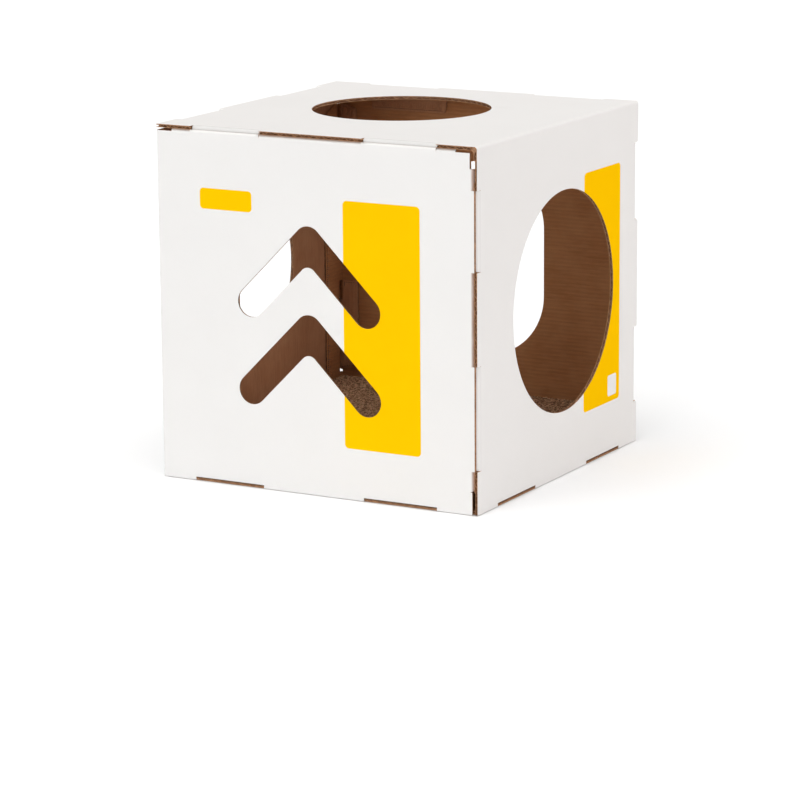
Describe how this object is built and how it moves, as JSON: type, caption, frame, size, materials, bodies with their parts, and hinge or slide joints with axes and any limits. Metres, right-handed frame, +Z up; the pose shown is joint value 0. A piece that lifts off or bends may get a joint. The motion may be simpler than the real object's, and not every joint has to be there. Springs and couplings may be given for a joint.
{
  "type": "cardboard cat house",
  "caption": "Cube cat house of folded corrugated board with round and pill-shaped openings, arrow windows, a hinged lid, lock tabs and a thick corrugated scratch pad.",
  "frame": {"origin": "middle of the underside, where the house stands on the floor", "axes": "+X to the right wall, -Y to the front wall with the arrow windows, +Z up"},
  "size_m": [0.4, 0.4, 0.4],
  "materials": {
    "board_white": "matt white liner outside, brown inside, yellow printed stripes on two walls",
    "board_kraft": "brown kraft board, matt",
    "pad_kraft": "open flute ends, rough"
  },
  "bodies": {
    "house": {"bottom_panel": "board_white", "back_panel": "board_white", "left_panel": "board_white", "front_panel": "board_white", "right_panel": "board_white", "front_right_flange": "board_kraft", "front_top_flange": "board_kraft", "back_right_flange": "board_kraft", "back_left_flange": "board_kraft", "back_top_flange": "board_kraft", "left_top_flange": "board_kraft"},
    "lid": {"top_panel": "board_white"},
    "scratch_pad": {"scratch_pad": "pad_kraft"},
    "right_front_tab_lower": {"right_front_tab_lower": "board_kraft"},
    "right_front_tab_upper": {"right_front_tab_upper": "board_kraft"},
    "right_back_tab_lower": {"right_back_tab_lower": "board_kraft"},
    "left_back_tab_lower": {"left_back_tab_lower": "board_kraft"},
    "right_back_tab_upper": {"right_back_tab_upper": "board_kraft"},
    "left_back_tab_upper": {"left_back_tab_upper": "board_kraft"},
    "top_front_tab_left": {"top_front_tab_left": "board_kraft"},
    "top_front_tab_right": {"top_front_tab_right": "board_kraft"},
    "top_back_tab_left": {"top_back_tab_left": "board_kraft"},
    "top_back_tab_right": {"top_back_tab_right": "board_kraft"},
    "top_left_tab_front": {"top_left_tab_front": "board_kraft"},
    "top_left_tab_back": {"top_left_tab_back": "board_kraft"}
  },
  "joints": [
    {"name": "lid_fold", "type": "hinge", "parent": "house", "child": "lid", "pos_m": [0.2, 0, 0.4], "axis": [0, 1, 0], "range_deg": [0, 110]},
    {"name": "pad_lift", "type": "slide", "parent": "house", "child": "scratch_pad", "axis": [0, 0, 1], "range_m": [0, 0.215]},
    {"name": "right_front_tab_lower_crease", "type": "hinge", "parent": "house", "child": "right_front_tab_lower", "pos_m": [0.1955, -0.1912, 0.1055], "axis": [0, 0, -1], "range_deg": [0, 30]},
    {"name": "right_front_tab_upper_crease", "type": "hinge", "parent": "house", "child": "right_front_tab_upper", "pos_m": [0.1955, -0.1912, 0.309], "axis": [0, 0, -1], "range_deg": [0, 30]},
    {"name": "right_back_tab_lower_crease", "type": "hinge", "parent": "house", "child": "right_back_tab_lower", "pos_m": [0.1955, 0.1912, 0.092], "axis": [0, 0, 1], "range_deg": [0, 30]},
    {"name": "left_back_tab_lower_crease", "type": "hinge", "parent": "house", "child": "left_back_tab_lower", "pos_m": [-0.1955, 0.1912, 0.092], "axis": [0, 0, -1], "range_deg": [0, 30]},
    {"name": "right_back_tab_upper_crease", "type": "hinge", "parent": "house", "child": "right_back_tab_upper", "pos_m": [0.1955, 0.1912, 0.3075], "axis": [0, 0, 1], "range_deg": [0, 30]},
    {"name": "left_back_tab_upper_crease", "type": "hinge", "parent": "house", "child": "left_back_tab_upper", "pos_m": [-0.1955, 0.1912, 0.3075], "axis": [0, 0, -1], "range_deg": [0, 30]},
    {"name": "top_front_tab_left_crease", "type": "hinge", "parent": "lid", "child": "top_front_tab_left", "pos_m": [-0.112, -0.1912, 0.3955], "axis": [1, 0, 0], "range_deg": [0, 30]},
    {"name": "top_front_tab_right_crease", "type": "hinge", "parent": "lid", "child": "top_front_tab_right", "pos_m": [0.1055, -0.1912, 0.3955], "axis": [1, 0, 0], "range_deg": [0, 30]},
    {"name": "top_back_tab_left_crease", "type": "hinge", "parent": "lid", "child": "top_back_tab_left", "pos_m": [-0.1055, 0.1912, 0.3955], "axis": [-1, 0, 0], "range_deg": [0, 30]},
    {"name": "top_back_tab_right_crease", "type": "hinge", "parent": "lid", "child": "top_back_tab_right", "pos_m": [0.112, 0.1912, 0.3955], "axis": [-1, 0, 0], "range_deg": [0, 30]},
    {"name": "top_left_tab_front_crease", "type": "hinge", "parent": "lid", "child": "top_left_tab_front", "pos_m": [-0.1912, -0.112, 0.3955], "axis": [0, -1, 0], "range_deg": [0, 30]},
    {"name": "top_left_tab_back_crease", "type": "hinge", "parent": "lid", "child": "top_left_tab_back", "pos_m": [-0.1912, 0.1055, 0.3955], "axis": [0, -1, 0], "range_deg": [0, 30]}
  ]
}
